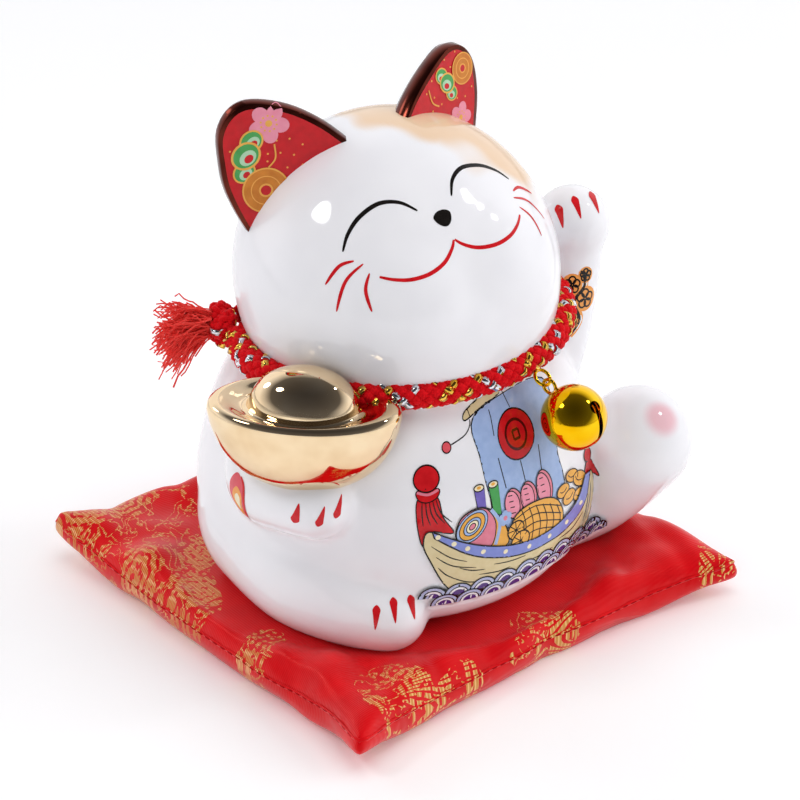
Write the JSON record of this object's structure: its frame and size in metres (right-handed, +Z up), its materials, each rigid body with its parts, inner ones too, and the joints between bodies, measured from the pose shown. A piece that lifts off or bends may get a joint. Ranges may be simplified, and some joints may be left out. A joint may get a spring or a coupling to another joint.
{
  "type": "ceramic lucky cat figurine",
  "caption": "Seated glazed ceramic cat with one paw raised and a gold ingot held up, a braided collar with a bell, on a square padded cushion.",
  "frame": {"origin": "middle of the cushion's underside, on the surface it stands on", "axes": "+Z up; the cat faces -Y; +X is the cat's own left, the side of its raised paw"},
  "size_m": [0.1, 0.1, 0.1119],
  "materials": {
    "brocade": "red satin brocade with woven gold flowers",
    "wadding": "loose polyester wadding",
    "glazed_ceramic": "white slip-cast body under a clear gloss glaze, with fired transfers",
    "gold_lustre": "mirror-bright fired gold lustre over the glaze",
    "braid": "red braided cord with gold and silver tinsel",
    "gold_brass": "bright lacquered yellow brass",
    "steel": "plain steel ball"
  },
  "bodies": {
    "cushion": {"cushion_top_cover": "brocade", "cushion_bottom_cover": "brocade", "cushion_filling": "wadding"},
    "cat": {"torso_shell": "glazed_ceramic", "head_shell": "glazed_ceramic", "left_ear": "glazed_ceramic", "right_ear": "glazed_ceramic", "raised_arm": "glazed_ceramic", "ingot_arm": "glazed_ceramic", "left_leg": "glazed_ceramic", "right_leg": "glazed_ceramic", "tail": "glazed_ceramic", "gold_ingot": "gold_lustre", "collar_cord": "braid", "collar_knot": "braid", "collar_tassel": "braid", "bell_jump_ring": "gold_brass"},
    "bell": {"bell_cap": "gold_brass", "bell_cup": "gold_brass", "bell_eye": "gold_brass"},
    "pellet": {"bell_pellet": "steel"}
  },
  "joints": [
    {"name": "cat_lift", "type": "slide", "parent": "cushion", "child": "cat", "axis": [0, 0, 1], "range_m": [0, 0.03]},
    {"name": "bell_swing", "type": "hinge", "parent": "cat", "child": "bell", "pos_m": [0.01005, -0.03399, 0.05674], "axis": [0.9796, 0.201, 0], "range_deg": [-60, 0]},
    {"name": "pellet_rattle", "type": "slide", "parent": "bell", "child": "pellet", "axis": [-0.1584, 0.7718, 0.6158], "range_m": [0, 0.008]}
  ]
}
